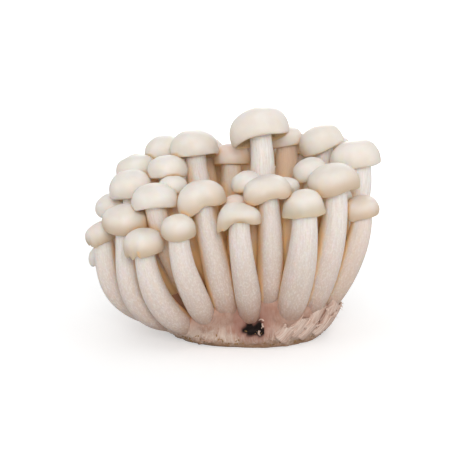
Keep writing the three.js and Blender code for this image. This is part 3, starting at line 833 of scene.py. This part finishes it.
pick = np.random.default_rng(7)
THREADS, THREAD_POINTS = 420, 6
THREAD_ROWS = len(CUT_SHARES) + 4, len(CUT_SHARES) + 43  # where on the pad they stand
HEMMED_IN, HOLE_RIM_MOST = 0.85, 0.2  # no threads beyond either
THREAD_OUT, THREAD_ASIDE, THREAD_UP = 0.5, 0.7, 0.35  # how a thread stands off
THREAD_CURL = 0.8
THREAD_LENGTH = 1.5, 4.5
THREAD_WIDTH, THREAD_TIP = (0.15, 0.4), 0.07
THREAD_ROOT = 0.3  # how deep it starts
THREAD_CLEAR = 0.5  # how far off the floor it stays

t = np.linspace(0, 1, THREAD_POINTS)[:, None]
lines, widths, ways = [], [], []
while len(lines) < THREADS:
    row = pick.integers(*THREAD_ROWS)
    column = pick.integers(BUTT_AROUND)
    if hemmed_in[row, column] > HEMMED_IN or bruised[row, column] > HOLE_RIM_MOST:
        continue
    normal = butt_normals[row, column]
    swing = pick.normal(size=3)
    swing -= (swing @ normal) * normal
    way = THREAD_OUT * normal + THREAD_ASIDE * swing / norm(swing) + [0, 0, THREAD_UP]
    length = pick.uniform(*THREAD_LENGTH)
    curl = THREAD_CURL * pick.normal(size=3) - THREAD_CURL * normal
    line = butt_rows[row, column] - THREAD_ROOT * normal + length * (t * way + t**2 * curl / 2)
    if line[:, 2].min() < THREAD_CLEAR:
        continue
    lines.append(line)
    widths.append(np.linspace(pick.uniform(*THREAD_WIDTH), THREAD_TIP, THREAD_POINTS))
    ways.append(np.tile(normal, (THREAD_POINTS, 1)))
stranded("butt_threads", lines, widths, ways, {"Sides": 4, "Thinness": 0.8, "Finish": mycelium})


# ---- The torn stumps ----
# Stubs of stems that were pulled off when the bunch was parted from its neighbour. They grow out of
# the right of the pad, and their flesh ends in a ragged hollow rim.

# Torn flesh: the inside of a stem, pulled apart along its fibres. It gives the eye a pale pinkish
# white, streaked lengthwise, duller between the fibres.
torn_flesh, tree = new_material("torn_flesh")
grown = add(tree, "ShaderNodeAttribute", output="Vector", attribute_name="grown")
fibre_place = add(tree, "ShaderNodeMapping", {"Vector": grown, "Scale": (1 / 0.5, 1 / 0.5, 1 / 6)})
fibres = add(tree, "ShaderNodeTexNoise", {"Vector": fibre_place, "Scale": 1.0, "Detail": 3.0})
fibres = add(tree, "ShaderNodeMapRange", {"Value": fibres, "From Min": 0.38, "From Max": 0.65})
bump = add(tree, "ShaderNodeBump", {"Height": fibres, "Strength": 0.5, "Distance": 0.2 * MM})
layers = [(fibres, 0, 1, 1, "#c8a390")]
painted(tree, "#ead6c8", layers, {"Roughness": 0.7, "Normal": bump})

# Each stump: its bearing on the pad in degrees from +X, the height of its foot, its length and its
# half width in mm, and how far it leans outwards and sideways for each mm that it rises.
STUMPS = [
    (-66, 5.5, 5, 3.4, 0.7, 0.9),
    (-57, 7.0, 8, 3.4, 0.8, 1.0),
    (-49, 5.0, 8, 3.0, 1.2, 0.9),
    (-45, 8.5, 11, 3.6, 0.8, 0.8),
    (-36, 5.5, 10, 3.0, 1.3, 0.6),
    (-31, 8.5, 12, 3.5, 1.0, 0.4),
    (-21, 6.5, 10, 3.0, 1.2, 0.2),
    (-11, 6.0, 7, 2.8, 1.0, -0.1),
]
STUMP_AROUND, STUMP_ROWS = 44, 12
STUMP_ROOT = 2.0  # how deep it starts, in mm
STUMP_BOW = 0.02  # bends it up and inwards
STUMP_FLATNESS = 0.6
STUMP_HOLLOW = (0.97, 0.8, 0.6)  # rows down its hollow
WALL = 0.3  # the share by which its hollow is narrower
RAGGED, RAGGED_BASE = [(0.25, 0.7, 40), (0.12, 0.2, 60)], 0.9  # its rim
GROOVES = [(0.2, (1.6, 1.6, 12), 80)]  # its side
STREAKS_APART = 40  # keeps each stump's streaks its own
TIP_STEP = 6  # rim points from one loose fibre to the next

rim = on_circle(turns(STUMP_AROUND))
points, faces, grown, tips = [], [], [], []
for number, (bearing, height, length, width, outwards, sideways) in enumerate(STUMPS):
    column = round(bearing % 360 / 360 * BUTT_AROUND)
    row = np.argmax(butt_rows[:, column, 2] > height)
    outward = np.array([math.cos(math.radians(bearing)), math.sin(math.radians(bearing)), 0])
    across = np.array([-outward[1], outward[0], 0])
    way = unit(outwards * outward + sideways * across + [0, 0, 1])
    first = unit(across - (across @ way) * way)
    second = np.cross(way, first)
    foot = butt_rows[row, column] - STUMP_ROOT * way
    ragged = relief(rim, RAGGED, number, RAGGED_BASE)
    rows = []
    for share in [*np.linspace(0, 1, STUMP_ROWS), *STUMP_HOLLOW]:
        inside = len(rows) >= STUMP_ROWS
        along = ((length + STUMP_ROOT) * share * ragged)[:, None]
        bowed = along * way + STUMP_BOW * along**2 * ([0, 0, 1.2] - outward)
        straight = np.concatenate([width * rim[:, :2], along], axis=1)
        swell = (1.15 - 0.3 * share + 0.35 * share**4) * (1 - WALL * inside)
        wide = width * swell * relief(straight, GROOVES, number, 1)[:, None] * rim
        rows.append(foot + bowed + wide[:, :1] * first + STUMP_FLATNESS * wide[:, 1:2] * second)
        grown.append(straight + [0, 0, STREAKS_APART * number])
    rows = np.array(rows)
    faces += [[len(points) + c for c in face] for face in closed(rows)]
    points += skin_of(rows)
    grown.append(np.zeros((2, 3)))
    tips += [(tip, way) for tip in rows[STUMP_ROWS - 1, ::TIP_STEP]]
mesh = mesh_of("torn_stumps", points, [], faces, grown=np.concatenate(grown))
mesh.materials.append(torn_flesh)
mesh.shade_smooth()
stumps = placed("torn_stumps", mesh)
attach(stumps, "root")


# ---- The torn fibres ----
# Fibres of torn flesh stand off the rims of the stumps they are part of, and curls of torn skin hang
# on round the hole in the pad. Their sizes are in mm.

FIBRE_POINTS = 7
FIBRE_ROOT = 0.35  # the share of its length that lies in the rim
FIBRE_LENGTH, FIBRE_WIDTH = (0.8, 2.4), (0.3, 0.8)
FIBRE_TAPER = 0.7
CURLS = [
    (12.2, -30.6, 7.0),
    (12.9, -30.2, 8.4),
    (13.4, -29.9, 10.4),
    (11.6, -30.4, 11.6),
    (14.6, -29.6, 8.2),
]
CURL_RADIUS, CURL_WIDTH = (0.9, 1.5), 0.8
CURL_BEND, CURL_START = (1.4, 2.6), (0, 3)  # in radians
CURL_SHIFT = 0.5  # how far it winds along its axis
CURL_FACING = -1.2  # how its width lies along its axis

t = np.linspace(0, 1, FIBRE_POINTS)[:, None]
lines, widths, ways = [], [], []
taper = 1 - FIBRE_TAPER * t[:, 0] ** 2
for tip, way in tips:
    length = pick.uniform(*FIBRE_LENGTH)
    aside = pick.normal(size=3)
    lines.append(tip + length * ((t - FIBRE_ROOT) * way + t**2 / 2 * aside))
    widths.append(pick.uniform(*FIBRE_WIDTH) * taper)
    ways.append(np.tile(np.cross(way, aside), (FIBRE_POINTS, 1)))
for middle in CURLS:
    radius = pick.uniform(*CURL_RADIUS)
    bend = pick.uniform(*CURL_BEND) * t + pick.uniform(*CURL_START)
    curl = np.concatenate([np.cos(bend), CURL_SHIFT * t, np.sin(bend)], axis=1)
    lines.append(middle + radius * curl)
    widths.append(CURL_WIDTH * taper)
    ways.append(np.concatenate([np.cos(bend), 0 * t + CURL_FACING, np.sin(bend)], axis=1))
stranded("torn_fibres", lines, widths, ways, {"Sides": 6, "Thinness": 0.35, "Finish": torn_flesh})


# ---- The aborted pins ----
# Tiny mushrooms that stopped growing, of the same skin and flesh as the others. They stand on the
# pad wherever the stems leave them room. Their sizes are in mm.

PIN_COUNT, PIN_AROUND = 20, 12
PIN_STEM = [(0.0, 1.6), (0.12, 1.3), (0.35, 1.1), (0.6, 0.95), (0.74, 0.85)]  # height and width,
PIN_CAP = [(0.75, 1.3), (0.78, 1.6), (0.85, 1.75), (0.93, 1.4), (0.98, 0.7)]  # in shares of its own
PIN_ROWS = len(CUT_SHARES) + 10, len(butt_rows) - 6  # where on the pad they stand
PIN_LENGTH, PIN_RADIUS = (5, 11), (0.7, 1.2)
PIN_ROOT = 0.6  # how deep it starts
PIN_APART, PIN_OFF_HOLE = 4, 14
PIN_COMPANY = 5  # how near a stem has to be to lean with it
PIN_STRAY, PIN_BOW = 0.08, 0.06
STEM_CHECKS, CAP_CHECKS = (0.3, 0.5, 0.7), (0.85, 0.93)  # heights that need room
STEM_ROOM, CAP_ROOM = 0.15, 0.1
PIN_LOOK = {"along": 14.0, "nestled": 0.76, "flush": 0.4}  # painted as the foot of a stem is, with its painted shade and pinkish tan


def room_at(point):
    """How far a point is from the nearest mushroom, or none if it is inside one."""
    place, normal, face, distance = bunch.find_nearest(Vector(point))
    return distance if (Vector(point) - place).dot(normal) > 0 else 0


def pin_middle(share):
    """The middle of the pin in hand, at a share of its length."""
    return base + share * length * way + share * share * bend


heights = [FOOT_ROW, FOOT_ROW + 3 * STEM_STEP]
stems = [skin["rows"].mean(axis=1)[heights] for skin in skins.values()]
tips, points, faces, kinds = [], [], [], []
while len(tips) < PIN_COUNT:
    row = pick.integers(*PIN_ROWS)
    column = pick.integers(BUTT_AROUND)
    base = butt_rows[row, column] - PIN_ROOT * butt_normals[row, column]
    if norm(base - HOLE) < PIN_OFF_HOLE:
        continue
    length, radius = pick.uniform(*PIN_LENGTH), pick.uniform(*PIN_RADIUS)
    way = 0
    for foot, higher in stems:
        way = way + math.exp(-norm(foot - base) / PIN_COMPANY) * (higher - foot)
    way = unit(way) + PIN_STRAY * pick.normal(size=3)
    bend = PIN_BOW * length * pick.normal(size=3)
    stem_room = min(room_at(pin_middle(share)) for share in STEM_CHECKS)
    cap_room = min(room_at(pin_middle(share)) for share in CAP_CHECKS)
    if stem_room < radius + STEM_ROOM or cap_room < 2 * radius + CAP_ROOM:
        continue
    tip = pin_middle(CAP_CHECKS[-1])
    if any(norm(tip - other) < PIN_APART for other in tips):
        continue
    tips.append(tip)
    side = unit(np.cross(way, [0.3, 1, 0]))
    other_side = np.cross(unit(way), side)
    rings = []
    for share, wide in PIN_STEM + PIN_CAP:
        reach = wide * radius
        rings.append(circles(pin_middle(share), reach * side, reach * other_side, turns(PIN_AROUND)))
    rings = np.array(rings)
    faces += [[len(points) + c for c in face] for face in closed(rings)]
    points += [*rings.reshape(-1, 3), rings[0].mean(0), pin_middle(1)]
    in_cap = [k >= len(PIN_STEM) - 1 for k in range(len(rings) - 1)] + [False, True]
    kinds += np.repeat(in_cap, PIN_AROUND).astype(int).tolist()
marks = {mark: [value] * len(points) for mark, value in PIN_LOOK.items()}
mesh = mesh_of("aborted_pins", points, [], faces, grown=points, **marks)
mesh.materials.append(stem_flesh)
mesh.materials.append(cap_skin)
mesh.polygons.foreach_set("material_index", kinds)
mesh.shade_smooth()
pins = placed("aborted_pins", mesh)
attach(pins, "root")


# ---- The crumbs ----
# Crumbs of the block that the bunch grew on, sawdust and bran. They cling to the pad near the cut.

# Growing medium: sawdust and bran, dried out. It gives the eye matte grains from brown to straw.
growing_medium, tree = new_material("growing_medium")
place = add(tree, "ShaderNodeTexCoord", output="Object")
grains = add(tree, "ShaderNodeTexNoise", {"Vector": place, "Scale": 1 / (0.9 * MM), "Detail": 2.0})
painted(tree, "#7b5a3b", [(grains, 0, 1, 1, "#b8935f")], {"Roughness": 0.9})

# The crumbs lie in patches, more of them the lower on the pad, and none under it.
sizes = {"Per Area": "Float", "Radius": "Float", "Finish": "Material"}
tree, geometry, size = new_tree("crumbs", sizes)
place = add(tree, "GeometryNodeInputPosition")
height = add(tree, "ShaderNodeSeparateXYZ", {"Vector": place}, output="Z")
low_down = add(tree, "ShaderNodeMapRange", {"Value": height, "From Min": 8 * MM, "From Max": 1.5 * MM})
not_under = add(tree, "FunctionNodeCompare", {"A": height, "B": 1.3 * MM}, operation="GREATER_THAN")
patches = add(tree, "ShaderNodeTexNoise", {"Vector": place, "Scale": 1 / (7 * MM), "Detail": 2.0})
patches = add(tree, "ShaderNodeMapRange", {"Value": patches, "From Min": 0.42, "From Max": 0.6})
amount = low_down
for share in (size["Per Area"], patches):
    amount = add(tree, "ShaderNodeMath", {0: amount, 1: share}, operation="MULTIPLY")
scatter = {"Mesh": geometry, "Selection": not_under, "Density": amount, "Seed": 3}
spots = add(tree, "GeometryNodeDistributePointsOnFaces", scatter)
crumb = add(tree, "GeometryNodeMeshIcoSphere", {"Radius": size["Radius"], "Subdivisions": 2})
shape = {"Min": (0.5, 0.5, 0.4), "Max": (1.7, 1.3, 1.0), "Seed": 5}
shape = add(tree, "FunctionNodeRandomValue", shape, data_type="FLOAT_VECTOR")
tumble = {"Max": (6.28, 6.28, 6.28), "Seed": 6}
tumble = add(tree, "FunctionNodeRandomValue", tumble, data_type="FLOAT_VECTOR")
crumbs = {"Points": spots, "Instance": crumb, "Rotation": tumble, "Scale": shape}
crumbs = add(tree, "GeometryNodeInstanceOnPoints", crumbs)
crumbs = add(tree, "GeometryNodeRealizeInstances", {"Geometry": crumbs})
crumbs = add(tree, "GeometryNodeSetMaterial", {"Geometry": crumbs, "Material": size["Finish"]})
add(tree, "NodeGroupOutput", {"Geometry": crumbs})

crumbs = placed("sawdust_crumbs", butt.data.copy())
grown_with(crumbs, tree, {"Per Area": 400000.0, "Radius": 0.4 * MM, "Finish": growing_medium})
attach(crumbs, "root")


# ---- The stage ----
# A white floor under a plain bright studio: broad soft lamps at the front and the back. The bunch
# stands on it, and it isn't part of the bunch.

FLOOR = 4000  # from its middle to each side, in mm
corners = [(-FLOOR, -FLOOR, 0), (FLOOR, -FLOOR, 0), (FLOOR, FLOOR, 0), (-FLOOR, FLOOR, 0)]
floor = placed("floor", mesh_of("floor", corners, [], [(0, 1, 2, 3)]))

# Floor paint: matte white. It gives the eye an even white, dimmer round the foot of the bunch.
floor_paint, tree = new_material("floor_paint")
camera_ray = add(tree, "ShaderNodeLightPath", output="Is Camera Ray")
place = add(tree, "ShaderNodeTexCoord", output="Object")
distance = add(tree, "ShaderNodeVectorMath", {0: place}, output="Value", operation="LENGTH")
rising = {"Value": distance, "From Min": 0.1, "From Max": 0.5, "To Min": 0.45, "To Max": 1.0}
glowing = add(tree, "ShaderNodeMapRange", rising)
diffuse = add(tree, "ShaderNodeBsdfDiffuse", {"Color": (0.7, 0.7, 0.7, 1)})
glow = add(tree, "ShaderNodeEmission", {"Color": (1, 1, 1, 1), "Strength": glowing})
both = add(tree, "ShaderNodeAddShader", {0: diffuse, 1: glow})
shown = add(tree, "ShaderNodeMixShader", {0: camera_ray, 1: diffuse, 2: both})
add(tree, "ShaderNodeOutputMaterial", {"Surface": shown})
floor.data.materials.append(floor_paint)

# The sky is white where it is seen, itself or in a gloss, and half as bright as a light.
world = bpy.data.worlds.new("studio")
bpy.context.scene.world = world
world.use_nodes = True
tree = world.node_tree
tree.nodes.clear()
add(tree, "ShaderNodeLightPath")
rays = tree.nodes[-1].outputs
seen = rays["Is Camera Ray"]
for kind in ("Is Glossy Ray", "Is Transmission Ray"):
    seen = add(tree, "ShaderNodeMath", {0: seen, 1: rays[kind]}, operation="MAXIMUM")
strength = add(tree, "ShaderNodeMapRange", {"Value": seen, "To Min": 0.5, "To Max": 1.0})
sky = add(tree, "ShaderNodeBackground", {"Color": (1, 1, 1, 1), "Strength": strength})
add(tree, "ShaderNodeOutputWorld", {"Surface": sky})

# Each lamp: its place and its side in metres, and its watts.
LAMPS = {
    "front": ((0.02, -0.94, 0.42), 0.3, 3.9),
    "top": ((0.0, -0.3, 1.1), 0.8, 1.3),
    "left": ((-1.05, -0.2, 0.35), 0.7, 0.8),
    "right": ((1.05, -0.1, 0.35), 0.7, 1.6),
    "back": ((0.1, 1.05, 0.35), 0.6, 4.2),
}
LAMP_AIM = Vector((0, 0, 0.05))
for name, (place, side, watts) in LAMPS.items():
    lamp = placed(name, bpy.data.lights.new(name, "AREA"))
    lamp.data.size = side
    lamp.data.energy = watts
    lamp.location = place
    lamp.rotation_euler = (LAMP_AIM - Vector(place)).to_track_quat("-Z", "Y").to_euler()

# The camera looks a little down on the front, from the distance at which the bunch fills the middle.
AIM = Vector((1.8, 0, 40.1)) * MM
DISTANCE = 0.8  # in metres
ELEVATION = math.radians(13)
LENS = 144.7  # in mm
camera = placed("camera", bpy.data.cameras.new("camera"))
camera.data.lens = LENS
bpy.context.scene.camera = camera
camera.location = AIM + DISTANCE * Vector((0, -math.cos(ELEVATION), math.sin(ELEVATION)))
camera.rotation_euler = (AIM - camera.location).to_track_quat("-Z", "Y").to_euler()

bpy.context.scene.view_settings.view_transform = "Standard"
